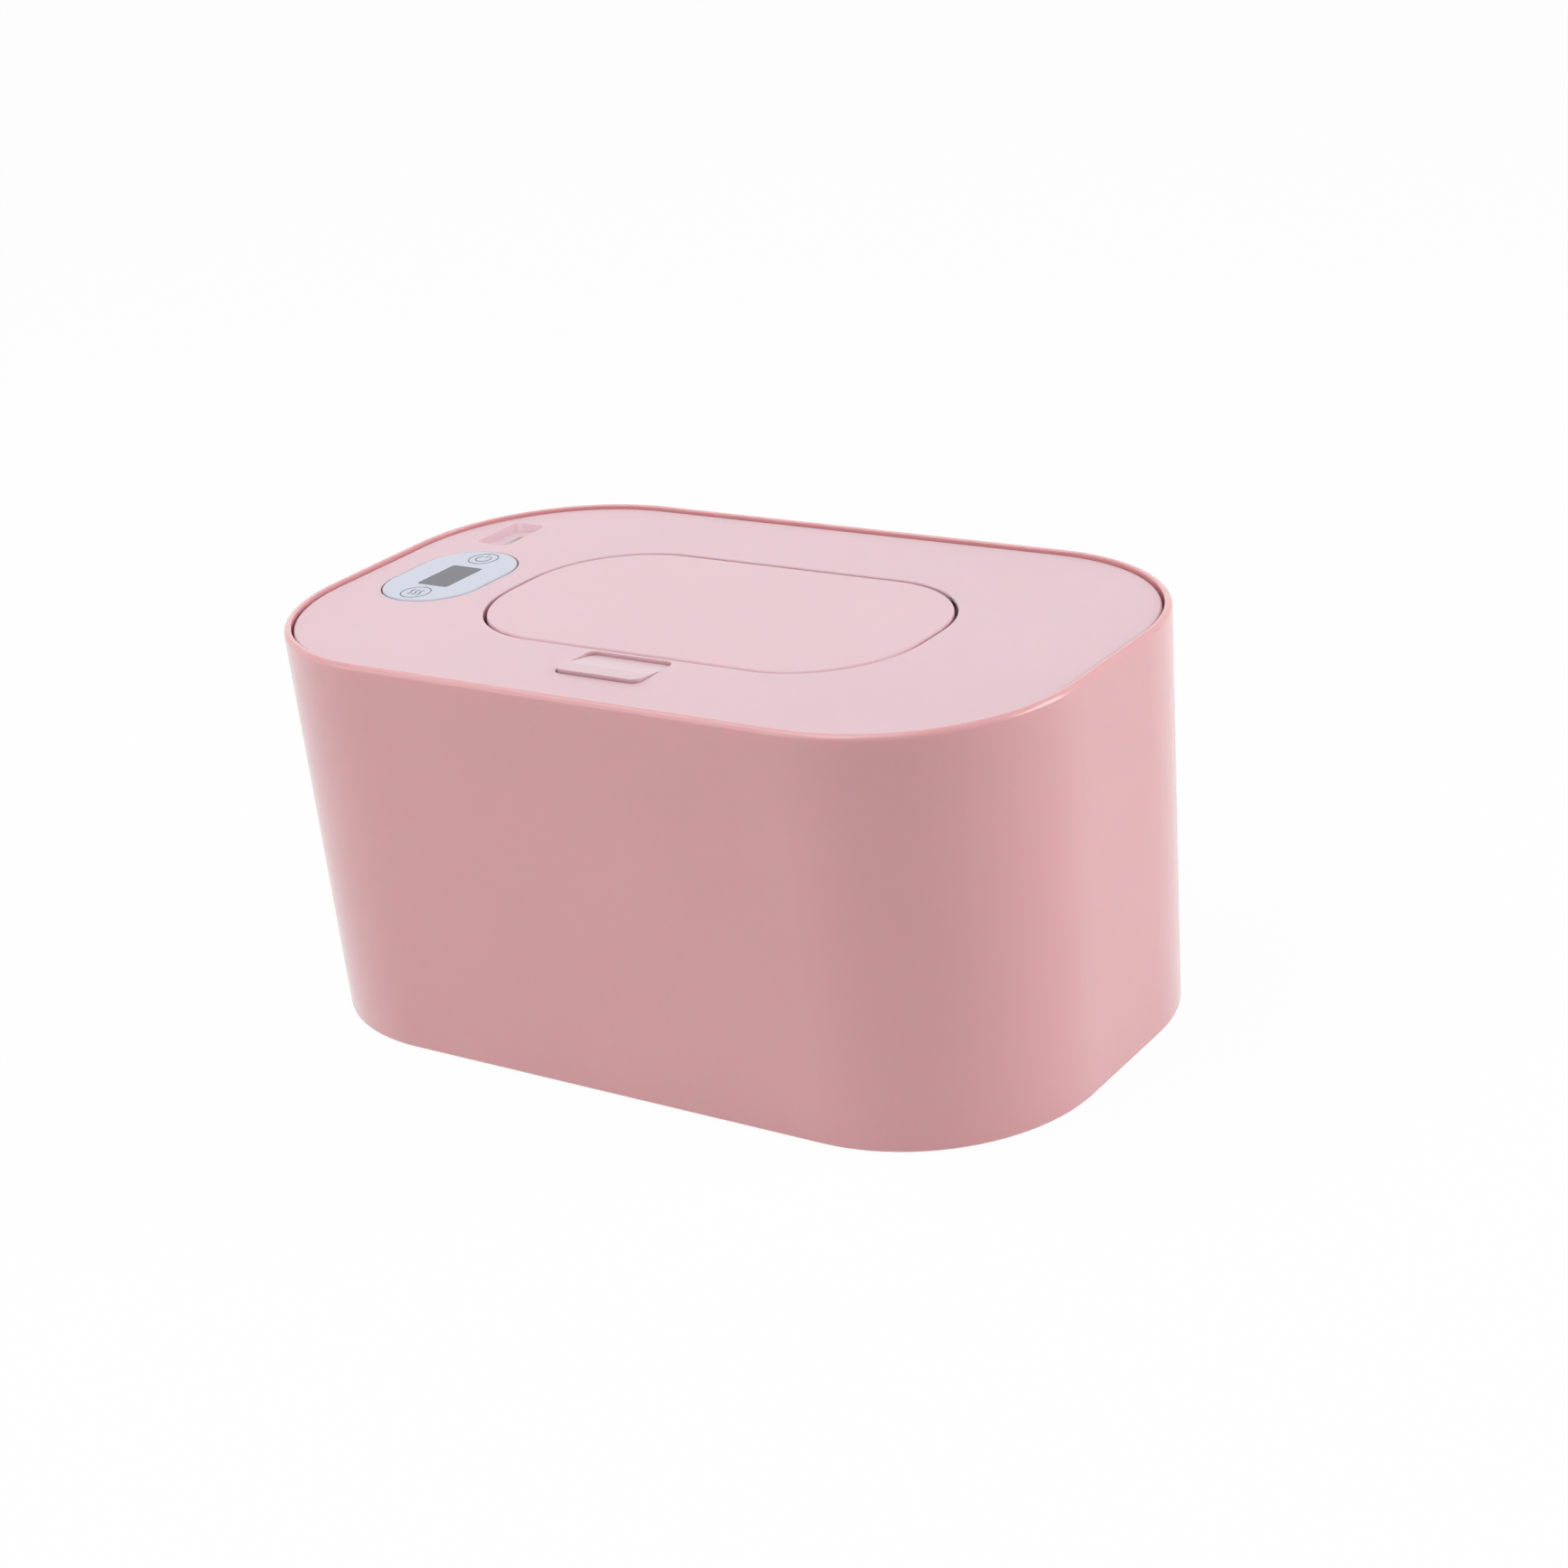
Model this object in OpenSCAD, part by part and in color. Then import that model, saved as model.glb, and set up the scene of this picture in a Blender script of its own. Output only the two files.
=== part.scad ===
// Baby wipe warmer: a two-walled tub with a lift-off lid that holds the top heater, its controls,
// a sprung flip lid over the dispensing mouth and the rocker button that lets it go.
// Millimetres, +Z up, front to -Y, origin on the table under the middle of the body.

/* [Body] */
// Width across the rim
body_w = 200; // [190:1:230]
// Depth across the rim
body_d = 120; // [116:1:140]
// Height of the rim above the table
body_h = 95; // [90:1:130]
// Radius of the upright corners at the rim
corner_r = 44.1; // [40:0.1:48]
// How far each side leans in from the rim down to the table
body_draft = 2.1; // [1:0.1:3]
// Thickness of the shell wall below the lid
shell_wall = 2.4; // [2:0.1:3]
// Thickness of the rim that stands round the lid
rim_wall = 1.7; // [1.4:0.1:1.9]
// Radius on the outer edge of the rim
rim_round = 1.2; // [0.6:0.1:1.3]
// Radius on the inner edge of the rim
rim_inner_round = 0.4; // [0.2:0.05:0.5]
// Thickness of the shell floor
shell_floor = 2.2; // [2:0.1:3]
// Radius of the lower edge of the shell
base_round = 0.6; // [0.2:0.1:1.5]

/* [Inner tub] */
// Thickness of the tub's walls and floor
tub_wall = 1.8; // [1.4:0.1:2.4]
// Distance from the rim's outline to the outside of the tub wall
tub_inset = 7.2; // [6.5:0.1:8]
// How far the tub wall leans in more than the shell
tub_draft = 1.5; // [0.5:0.1:3]
// Radius between the tub's wall and floor
tub_fillet = 8; // [4:0.5:12]
// Radius on the tub's inner lip
tub_lip_round = 1; // [0.4:0.1:1.4]
// Gap between the tub's flange and the shell
tub_gap = 0.3; // [0.2:0.05:0.6]
// Height of the space between the two floors
under_tub = 6; // [5:0.5:10]

/* [Feet] */
// Radius of a foot pad
foot_r = 7; // [6:0.5:8]
// How far a pad stands below the shell
foot_proud = 0.6; // [0.4:0.1:1.5]
// Depth of the recess that holds a pad
foot_recess = 1; // [0.8:0.1:1.5]
// Distance of the feet from the ends of the rim
foot_end_inset = 28; // [26:0.5:34]
// Distance of the feet from the front and back of the rim
foot_side_inset = 24; // [22:0.5:28]

/* [Lid] */
// How far the lid lies below the top of the rim
lid_drop = 0.8; // [0.4:0.1:1.5]
// Gap between the rim and the lid
lid_gap = 0.5; // [0.4:0.05:0.8]
// Height of the lid from its seat to its top
lid_depth = 18.2; // [17.6:0.1:20]
// Thickness of the lid's top plate
cover_t = 2; // [1.8:0.1:2.4]
// Thickness of the lid's skirt
skirt_t = 1.8; // [1.4:0.1:2.2]
// Radius on the edge of the lid's top
lid_edge_round = 0.6; // [0.3:0.1:1]
// Thickness of the silicone ring that the lid rests on
seal_t = 2; // [1.6:0.1:2.6]
// Thickness of the lid's lower cover
lower_t = 1.6; // [1.4:0.1:2]
// Depth of the lower cover's plug below the seal
plug_depth = 4.6; // [4:0.1:6]
// Gap between the plug and the tub wall
plug_gap = 1.2; // [0.8:0.1:2]

/* [Flip lid] */
// Distance from the ends of the rim to the flip lid
flip_end_inset = 44.8; // [44:0.1:48]
// Distance from the front and back of the rim to the flip lid
flip_side_inset = 30; // [29.5:0.1:31]
// Corner radius of the flip lid
flip_r = 25.8; // [24:0.1:27]
// Gap all round the flip lid
flip_gap = 0.8; // [0.75:0.05:0.9]
// Thickness of the flip lid's panel
flip_t = 2; // [1.8:0.1:2.2]
// Radius on the flip lid's top edge
flip_round = 0.7; // [0.5:0.05:0.9]
// Depth of the well under the flip lid
well_depth = 9.2; // [9:0.1:10]
// Thickness of the well's wall
well_wall = 1.6; // [1.4:0.1:2]
// Opening angle of the flip lid that the stop allows
flip_open = 75; // [60:5:75]

/* [Hinge] */
// Distance from the flip lid's back edge to its hinge axis
hinge_setback = 5.5; // [5:0.1:6]
// Depth of the hinge axis below the lid's top
hinge_depth = 1.05; // [1:0.05:1.15]
// Radius of a hinge pin
hinge_pin_r = 0.6; // [0.5:0.05:0.65]
// Length of a hinge pin
hinge_pin_l = 10; // [9:0.5:11]
// Radius of the barrel that turns on a pin
hinge_barrel_r = 1.35; // [1.2:0.05:1.4]
// Radial clearance between a pin and its barrel
hinge_clearance = 0.05; // [0.03:0.01:0.08]

/* [Dispensing mouth] */
// Distance from the flip lid's ends to the mouth
mouth_end_inset = 23.2; // [21.2:0.5:27.2]
// Distance from the flip lid's front and back to the mouth
mouth_side_inset = 16; // [15:0.5:19]
// Thickness of the collar round the mouth
collar_t = 1.8; // [1.4:0.1:2.2]
// Width of the collar's flange
collar_flange = 3.6; // [3:0.1:4]

/* [Press button] */
// Width of the button's pocket
pocket_w = 22.8; // [20:0.1:26]
// Width of the strip between the flip lid's gap and the pocket
pocket_bridge = 1; // [0.9:0.1:1.6]
// Length of the pocket, front to back
pocket_d = 14.3; // [13.8:0.1:14.8]
// Corner radius of the pocket
pocket_r = 2.3; // [1.8:0.1:3]
// Gap at the button's sides and back
button_gap = 0.35; // [0.3:0.05:0.5]
// Gap at the button's front
button_front_gap = 0.6; // [0.55:0.05:0.8]
// How far the button's front edge stands above the lid
button_proud = 0.8; // [0.6:0.1:1.2]
// How far the button's back edge lies below the lid
button_sunk = 0.8; // [0.6:0.1:1]
// Radius on the button's top edge
button_round = 1.2; // [0.8:0.1:1.4]
// Radius of the button's pivot stubs
pivot_r = 1; // [0.8:0.05:1.1]

/* [Control panel] */
// Width of the panel
panel_w = 25.2; // [24:0.1:26]
// Length of the panel, front to back
panel_d = 35.9; // [34:0.1:37]
// Distance from the left end of the rim to the panel's middle
panel_inset = 24; // [23:0.1:25]
// How far the panel's middle lies towards the front
panel_y = 0.8; // [0:0.1:2]
// Thickness of the panel
panel_t = 2; // [1.8:0.1:2.4]
// How far the panel stands above the lid
panel_proud = 0.2; // [0:0.05:0.4]
// Gap round the panel
panel_gap = 0.4; // [0.3:0.05:0.5]
// Width of the display window
window_w = 9.05; // [8:0.05:10]
// Length of the display window
window_d = 13.9; // [12:0.1:15]
// Distance between the two touch keys
key_pitch = 25.4; // [24:0.1:26]

/* [Power inlet] */
// Distance from the left end of the rim to the middle of the inlet's pocket
inlet_end_inset = 17.8; // [17.4:0.1:18.5]
// Distance from the back of the rim to the middle of the inlet's pocket
inlet_back_inset = 29.5; // [29:0.1:31]
// Width of the inlet pocket
inlet_w = 9.5; // [9:0.1:10]
// Length of the inlet pocket
inlet_d = 16.2; // [15:0.1:17]
// Depth of the inlet pocket
inlet_depth = 1.5; // [1.2:0.1:1.6]
// Width of the socket's metal shell
socket_w = 3.26; // [3.2:0.02:3.4]
// Length of the socket's metal shell
socket_d = 8.94; // [8.8:0.02:9.1]

/* [Heater] */
// Distance from the ends of the rim to the heater plate
heater_end_inset = 30; // [29:1:35]
// Distance from the front and back of the rim to the heater plate
heater_side_inset = 23; // [22:1:27]
// Corner radius of the heater plate
heater_r = 20; // [14:1:24]
// Thickness of the heater plate
heater_t = 1; // [0.8:0.1:1.5]
// Width of the heater plate's flange
heater_flange = 4; // [3:0.5:5]
// Thickness of the heating film
film_t = 0.4; // [0.3:0.05:0.6]
// Thickness of the insulation pad
pad_t = 4; // [3:0.5:5]

/* [Hidden] */
$fn = 64;

// Steps in a quarter turn of a rounded edge
edge_steps = 6;
// A little more than nothing, so that cutters run past the faces they cut
past = 0.5;
// How far shapes of one piece run into each other where they join
join = 0.1;
// Sides of a wire's tube, and steps in one turn of a coil
wire_sides = 6;
coil_steps = 8;

// Heights
shell_z = foot_proud;
shell_floor_z = shell_z + shell_floor;
lid_top = body_h - lid_drop;
plate_z = lid_top - cover_t;
seat_z = lid_top - lid_depth;
skirt_z = seat_z + seal_t;
plug_z = skirt_z - plug_depth;
pan_z = plug_z + lower_t;

// Plan sizes that follow the rim
flip_w = body_w - 2 * flip_end_inset;
flip_d = body_d - 2 * flip_side_inset;
mouth_w = flip_w - 2 * mouth_end_inset;
mouth_d = flip_d - 2 * mouth_side_inset;
heater_w = body_w - 2 * heater_end_inset;
heater_d = body_d - 2 * heater_side_inset;
foot_x = body_w / 2 - foot_end_inset;
foot_y = body_d / 2 - foot_side_inset;
panel_x = body_w / 2 - panel_inset;
inlet_x = body_w / 2 - inlet_end_inset;
inlet_y = body_d / 2 - inlet_back_inset;

// Lean of the body's sides at a height, inwards from the rim's outline
function lean(z) = body_draft * (body_h - z) / body_h;

// Points of an arc, from one angle to another
function arc(x, z, r, from, to) =
    [for (i = [0:edge_steps]) let (a = from + (to - from) * i / edge_steps) [x + r * cos(a), z + r * sin(a)]];

// A 2-D rounded rectangle
module rounded_rect(w, d, r) {
    square([w - 2 * r, d], center = true);
    square([w, d - 2 * r], center = true);
    for (x = [-1, 1], y = [-1, 1])
        translate([x * (w / 2 - r), y * (d / 2 - r)])
            circle(r);
}

// A 2-D slot with round ends, along X or along Y, whichever is longer
module slot_shape(w, d) {
    r = min(w, d) / 2;
    square(w > d ? [w - d, d] : [w, d - w], center = true);
    for (s = [-1, 1])
        translate([s * (w / 2 - r), s * (d / 2 - r)])
            circle(r);
}

// A flat plate with upright rounded corners
module plate(w, d, r, z0, z1) {
    translate([0, 0, z0])
        linear_extrude(z1 - z0)
            rounded_rect(w, d, r);
}

// A flat plate with round ends
module slot_plate(w, d, z0, z1) {
    translate([0, 0, z0])
        linear_extrude(z1 - z0)
            slot_shape(w, d);
}

// Sweeps a section round a rounded rectangle. In the section, x is 0 on the outline and y is the height.
module sweep(w, d, r, section) {
    cx = w / 2 - r;
    cy = d / 2 - r;
    outline = [for (p = section) [max(0, r + p[0]), p[1]]];
    for (c = [[cx, cy, 0], [-cx, cy, 90], [-cx, -cy, 180], [cx, -cy, 270]])
        translate([c[0], c[1], 0])
            rotate([0, 0, c[2]])
                rotate_extrude(angle = 90)
                    polygon(outline);
    for (side = [[cx, cy, 0], [cy, cx, 90], [cx, cy, 180], [cy, cx, 270]])
        if (side[1] > 0)
            rotate([0, 0, side[2]])
                translate([side[0], side[1], 0])
                    rotate([90, 0, 0])
                        linear_extrude(2 * side[1])
                            polygon(outline);
}

// The section of a plate's edge, with its upper and lower edges rounded
function edge_section(r, z0, z1, top, bottom) = concat(
    [[-r, z0]],
    bottom > 0 ? arc(-bottom, z0 + bottom, bottom, -90, 0) : [[0, z0]],
    top > 0 ? arc(-top, z1 - top, top, 0, 90) : [[0, z1]],
    [[-r, z1]]
);

// Fills the middle that a sweep leaves open
module core(w, d, r, z0, z1) {
    if (w > 2 * r && d > 2 * r)
        translate([r - w / 2, r - d / 2, z0])
            cube([w - 2 * r, d - 2 * r, z1 - z0]);
}

// A plate with rounded edges
module rounded_plate(w, d, r, z0, z1, top = 0, bottom = 0) {
    sweep(w, d, r, edge_section(r, z0, z1, top, bottom));
    core(w, d, r, z0, z1);
}

// Extrudes a section drawn front to back and upwards, evenly to both sides of the middle
module across(w) {
    translate([-w / 2, 0, 0])
        rotate([90, 0, 90])
            linear_extrude(w)
                children();
}

// A box from one corner to the other
module box(low, high) {
    translate(low)
        cube(high - low);
}

// A cylinder along X
module rod_x(x0, x1, y, z, r) {
    translate([x0, y, z])
        rotate([0, 90, 0])
            cylinder(r = r, h = x1 - x0);
}

// Repeats its children at each place in a list
module at(places) {
    for (p = places)
        translate([p[0], p[1], 0])
            children();
}

function unit(v) = v / norm(v);

// One ring of a wire at a point of its path. The wire winds round the given axis.
function wire_ring(path, i, r, axis) =
    let (
        t = unit(path[min(i + 1, len(path) - 1)] - path[max(i - 1, 0)]),
        a = unit(cross(t, axis)),
        b = cross(t, a)
    )
    [for (k = [0:wire_sides - 1]) let (c = 360 * k / wire_sides) path[i] + r * (cos(c) * a + sin(c) * b)];

// A wire along a path, as one closed tube
module wire(path, r, axis) {
    n = len(path);
    s = wire_sides;
    points = [for (i = [0:n - 1]) each wire_ring(path, i, r, axis)];
    sides = [for (i = [0:n - 2], k = [0:s - 1]) let (m = (k + 1) % s, a = i * s) each
        [[a + k, a + s + k, a + m], [a + m, a + s + k, a + s + m]]];
    ends = [for (k = [1:s - 2]) each [[0, k, k + 1], [(n - 1) * s, (n - 1) * s + k + 1, (n - 1) * s + k]]];
    polyhedron(points, concat(sides, ends));
}

// The middle line of a coil round Z
function coil(r, turns, z0, z1) =
    [for (i = [0:turns * coil_steps]) let (a = 360 * i / coil_steps)
        [r * cos(a), r * sin(a), z0 + (z1 - z0) * i / (turns * coil_steps)]];

// Screws: radius of the shank, radius and height of the head
tub_screw = [1.4, 2.6, 1.5];
lid_screw = [1.3, 2.5, 1.4];
board_screw = [0.9, 1.8, 1.2];
// Clearance of a screw's head and shank in the piece that it holds
head_clearance = 0.3;
shank_clearance = 0.2;
// Plastic left round a screw's pilot hole, and over the screw's end
boss_wall = 1.6;
screw_cover = 1;
// Chamfer on a screw's head, and the gap between the head and what covers it
head_chamfer = 0.4;
head_gap = 0.1;

// A pan-head screw driven upwards, with its head's underside at a height
module screw(size, seat, length) {
    translate([0, 0, seat - size[2]])
        cylinder(r1 = size[1] - head_chamfer, r2 = size[1], h = head_chamfer);
    translate([0, 0, seat - size[2] + head_chamfer])
        cylinder(r = size[1], h = size[2] - head_chamfer);
    translate([0, 0, seat])
        cylinder(r = size[0], h = length);
}

// Places of the feet and of the tub screws above them
foot_places = [for (x = [-1, 1], y = [-1, 1]) [x * foot_x, y * foot_y]];
// Heights at the tub screws: under the head's seat, and where the tub's bosses stand
foot_top_z = shell_z + foot_recess;
foot_gap = 0.1;
foot_chamfer = 0.3;
tub_screw_z = foot_top_z + tub_screw[2] + head_gap;
tub_seat_t = 1.3;
foot_boss_z = tub_screw_z + tub_seat_t;
tub_floor_z = shell_floor_z + under_tub;
tub_screw_l = tub_floor_z + tub_wall - screw_cover - tub_screw_z;
// How far the plates of the floors and the lid run under the sweeps round them
plate_join = 1;

// Outer shell: a drafted wall with the rim that stands round the lid
module outer_shell() {
    wall = concat(
        arc(-base_round - lean(shell_z), shell_z + base_round, base_round, -90, 0),
        arc(-rim_round - lean(body_h), body_h - rim_round, rim_round, 0, 90),
        arc(rim_inner_round - rim_wall - lean(body_h), body_h - rim_inner_round, rim_inner_round, 90, 180),
        [
            [-rim_wall - lean(seat_z), seat_z],
            [-shell_wall - lean(seat_z), seat_z],
            [-shell_wall - lean(shell_z), shell_z]
        ]
    );
    inset = lean(shell_z) + shell_wall / 2;
    color("#ecc4ca")
    difference() {
        union() {
            sweep(body_w, body_d, corner_r, wall);
            plate(body_w - 2 * inset, body_d - 2 * inset, corner_r - inset, shell_z, shell_floor_z);
            at(foot_places)
                translate([0, 0, shell_z])
                    cylinder(r = foot_r + boss_wall, h = foot_boss_z - shell_z);
        }
        at(foot_places) {
            translate([0, 0, shell_z - past])
                cylinder(r = foot_r + foot_gap, h = foot_recess + past);
            translate([0, 0, shell_z])
                cylinder(r = tub_screw[1] + head_clearance, h = tub_screw_z - shell_z);
            translate([0, 0, shell_z])
                cylinder(r = tub_screw[0] + shank_clearance, h = foot_boss_z + past - shell_z);
        }
    }
}

// Inner tub: holds the wipes; its flange carries the lid
module inner_tub() {
    flange = -shell_wall - tub_gap - lean(seat_z);
    wall_top = -tub_inset;
    wall_low = -tub_inset - tub_draft - lean(tub_floor_z);
    turn = tub_fillet + tub_wall;
    inset = turn - wall_low;
    floor_top = tub_floor_z + tub_wall;
    section = concat(
        [[flange, seat_z - tub_wall], [flange, seat_z]],
        arc(wall_top - tub_wall + tub_lip_round, seat_z - tub_lip_round, tub_lip_round, 90, 180),
        arc(wall_low - turn, tub_floor_z + turn, tub_fillet, 0, -90),
        [[wall_low - turn - plate_join, floor_top], [wall_low - turn - plate_join, tub_floor_z]],
        arc(wall_low - turn, tub_floor_z + turn, turn, -90, 0),
        [[wall_top, seat_z - tub_wall]]
    );
    color("#f4f2ef")
    difference() {
        union() {
            sweep(body_w, body_d, corner_r, section);
            plate(body_w - 2 * inset, body_d - 2 * inset, corner_r - inset, tub_floor_z, floor_top);
            at(foot_places)
                translate([0, 0, foot_boss_z])
                    cylinder(r = tub_screw[0] + boss_wall, h = tub_floor_z + tub_wall / 2 - foot_boss_z);
        }
        at(foot_places)
            translate([0, 0, foot_boss_z - past])
                cylinder(r = tub_screw[0], h = tub_screw_z + tub_screw_l - foot_boss_z + past);
    }
}

// Screws that hold the tub to the shell, under the feet
module tub_screws() {
    color("#b8b8bc")
    at(foot_places)
        screw(tub_screw, tub_screw_z, tub_screw_l);
}

// Soft pads that the warmer stands on
module feet() {
    color("#e6e0de")
    at(foot_places) {
        cylinder(r1 = foot_r - foot_chamfer, r2 = foot_r, h = foot_chamfer);
        translate([0, 0, foot_chamfer])
            cylinder(r = foot_r, h = foot_top_z - foot_chamfer);
    }
}

// Flip lid's hinge axis, and where the lid's outline crosses it
axis_y = flip_d / 2 - hinge_setback;
axis_z = lid_top - hinge_depth;
axis_x = flip_w / 2 - flip_r + sqrt(flip_r ^ 2 - (axis_y - flip_d / 2 + flip_r) ^ 2);
// Half a hinge pin stands in the flip lid and half in the well's wall
pin_in_x = axis_x - hinge_pin_l / 2;
pin_out_x = axis_x + hinge_pin_l / 2;
// Where each barrel starts and ends, and the play at the pin's inner end
barrel_in_x = pin_in_x - 2;
barrel_out_x = axis_x - 0.9;
pin_end_gap = 0.2;
// The block round each pin's outer half: behind the pin's end, and half its size
pin_cover = 0.8;
hinge_block = [2, 2.2];

// The well under the flip lid
well_floor_t = 1.6;
well_z = lid_top - well_depth;
well_low_z = well_z - well_floor_t;
well_w = flip_w + 2 * flip_gap;
well_d = flip_d + 2 * flip_gap;
well_r = flip_r + flip_gap;
// Radius on the edge of the lid's openings
opening_round = 0.4;
// The lip that overhangs the well near the hinge, so that the turning edge clears the wall
hinge_lip_t = 0.9;
hinge_undercut = 0.6;
// How far the barrel's middle lies below the axis, so that the barrel stays under the lid's top
barrel_drop = 0.35;
// The stops on the well's floor, where the open lid's back edge comes to rest
stop_clearance = 0.1;
stop_z = axis_z - hinge_setback * sin(flip_open) - (flip_t - hinge_depth) * cos(flip_open) - stop_clearance;
stop_x = 20;
stop_w = 5;
stop_front_y = axis_y - 1;
stop_back_y = axis_y + 2.2;

// The mouth's collar
collar_flange_t = 1.6;
collar_top_z = well_z + collar_flange_t;
collar_w = mouth_w + 2 * collar_t;
collar_d = mouth_d + 2 * collar_t;
collar_gap = 0.15;
collar_round = 1.2;
collar_edge_round = 0.5;

// Heights in the heater's dish, which stands a little below the lower cover
heater_proud = 0.8;
dish_z = plug_z - heater_proud;
film_z = dish_z + heater_t;
pad_z = film_z + film_t;
pad_top_z = pad_z + pad_t;
dish_w = heater_w - 2 * heater_flange;
dish_d = heater_d - 2 * heater_flange;
dish_r = heater_r - heater_flange;
// Gap between the dish and what lies in it or round it
dish_gap = 0.4;
inner_w = dish_w - 2 * (heater_t + dish_gap);
inner_d = dish_d - 2 * (heater_t + dish_gap);
inner_r = dish_r - heater_t - dish_gap;
// Gap between the collar and the film and pad round it
collar_room = 2;

// The lower cover and the seal, as distances in from the rim's outline
lid_inset = rim_wall + lid_gap;
lower_inset = lid_inset + skirt_t + 0.2;
plug_inset = tub_inset + tub_wall + plug_gap;
pan_inset = plug_inset + lower_t + 2;
seal_rib = [lower_inset + 2.2, lower_inset + 3.2];
seal_rib_h = 0.8;
seal_setback = 0.4;
// The rib on the seal, and the groove that takes it
function seal_rib_section(z0) =
    let (z1 = skirt_z + seal_rib_h)
    [[-seal_rib[1], z0], [-seal_rib[0], z0], [-seal_rib[0], z1], [-seal_rib[1], z1]];

// Screws that close the lid, and the bosses that take them
lid_screw_x = body_w / 2 - 34;
lid_screw_y = body_d / 2 - 20;
lid_mid_screw_x = 24;
lid_mid_screw_y = body_d / 2 - 17.5;
lid_screw_places = concat(
    [for (x = [-lid_screw_x, lid_screw_x], y = [-lid_screw_y, lid_screw_y]) [x, y]],
    [for (x = [-lid_mid_screw_x, lid_mid_screw_x], y = [-lid_mid_screw_y, lid_mid_screw_y]) [x, y]]
);
lid_screw_z = plug_z + lid_screw[2] + head_gap;
lid_seat_t = 1.6;
lid_boss_z = lid_screw_z + lid_seat_t;
lid_screw_l = 10;
// Plastic round a recessed head, and the radius on the plug's lower edge
head_wall = 1.2;
plug_round = 1;

// The control board hangs under the lid's top on three bosses
board_t = 1.6;
board_top_z = lid_top - 7;
board_z = board_top_z - board_t;
board_w = 30;
board_r = 8;
board_x = 1 - panel_x;
board_back_y = body_d / 2 - 24;
board_front_y = 36 - body_d / 2;
board_screw_l = 5;
pilot_play = 0.6;
board_screw_x = 9;
board_screw_inset = 5;
board_screw_places = [
    [-board_screw_x - panel_x, board_front_y + board_screw_inset],
    [board_screw_x - panel_x, board_front_y + board_screw_inset],
    [board_screw_x - panel_x, board_back_y - board_screw_inset]
];

// The leads up to the board, and the sensors on the film beside them in openings of the pad
lead_r = 0.7;
lead_gap = 0.3;
lead_inset = 2;
lead_x = board_x + board_w / 2 - lead_inset;
lead_places = [for (y = [-3, 3]) [lead_x, y]];
sensor_x = lead_x + 12;
sensor_gap = 1;
thermistor_y = -8;
thermistor_r = 1.5;
thermistor_l = 5;
fuse_y = 8;
fuse_r = 2;
fuse_l = 9;
fuse_lead_l = 4;
fuse_lead_r = 0.4;
// From the fuse's middle to the end of a lead
fuse_end = fuse_l / 2 + fuse_lead_l;

// The control panel and what lies under it
panel_top_z = lid_top + panel_proud;
panel_z = panel_top_z - panel_t;
panel_ledge = 1.5;
panel_seat_t = 1.4;
panel_seat_wall = 1.2;
panel_edge_round = 0.4;
panel_place = [-panel_x, -panel_y];
window_place = panel_place + [0.4, -0.5];
window_t = 1.4;
window_sunk = 0.05;
window_gap = 0.05;
window_ledge = 0.6;
window_r = 0.8;
// The display module: its frame and its lit face, as distances out from and in from the window
display_frame = 0.6;
display_face = 0.8;
display_drop = 0.8;
// The springs under the touch keys
touch_spring_r = 2.4;
touch_spring_turns = 5;
touch_spring_wire = 0.2;
// The board's screw holes and the socket's wall, floor and tongue
board_hole_gap = 0.1;
socket_wall = 0.35;
socket_floor = 1.2;
socket_tongue = [0.7, 6.4];
socket_tongue_drop = 0.6;
socket_drop = 0.1;
key_places = [for (s = [-1, 1]) panel_place + [0, s * key_pitch / 2]];

// The power inlet's floor and socket
inlet_place = [-inlet_x, inlet_y];
inlet_floor_z = lid_top - inlet_depth;
// How far the inlet's walls lean in: the left and back walls, then the right and front ones
inlet_far_lean = 1.3;
inlet_near_lean = 0.4;
// Corner radii of the inlet's pocket at the top and at its floor, and the plastic round it
inlet_r = 2;
inlet_floor_r = 1.6;
inlet_wall = 1.7;
inlet_floor_t = 1.4;
socket_place = inlet_place + [2.3, -1.5];
socket_gap = 0.2;

// The rocker button and its pocket
pocket_back = flip_d / 2 + flip_gap + pocket_bridge;
pocket_front = pocket_back + pocket_d;
pocket_y = -(pocket_front + pocket_back) / 2;
pocket_wall = 1.6;
pocket_low_z = lid_top - 4.4;
button_w = pocket_w - 2 * button_gap;
button_d = pocket_d - button_gap - button_front_gap;
button_y = pocket_y + (button_front_gap - button_gap) / 2;
button_r = pocket_r - button_gap;
button_slope = (button_proud + button_sunk) / (button_d - 2 * button_r);
button_skirt = 3.2;
button_wall = 1.2;
button_top_t = 1.6;
pivot_y = -pocket_back - 1.6;
pivot_z = lid_top - 3.2;
pivot_gap = 0.05;
pivot_boss = 1.5;
lug_d = 4;
lug_drop = 2.4;

// The latch: a slide that the button's finger pushes forward along its ramp
latch_w = 10;
latch_t = 1.4;
latch_gap = 0.1;
latch_side_gap = 0.3;
latch_over_gap = 0.4;
latch_z = well_z + latch_gap;
latch_top_z = latch_z + latch_t;
ramp_w = 6;
ramp_top_z = latch_top_z + 2.1;
ramp_front_y = -pocket_front + 0.6;
ramp_back_y = ramp_front_y + 1.2;
// Height plus distance to the back is the same all along the ramp
ramp_sum = ramp_top_z + ramp_back_y;
finger_r = 0.8;
finger_w = 4.4;
finger_gap = 0.08;
finger_y = ramp_back_y + 1.1;
finger_z = ramp_sum - finger_y + (finger_r + finger_gap) * sqrt(2);
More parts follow.
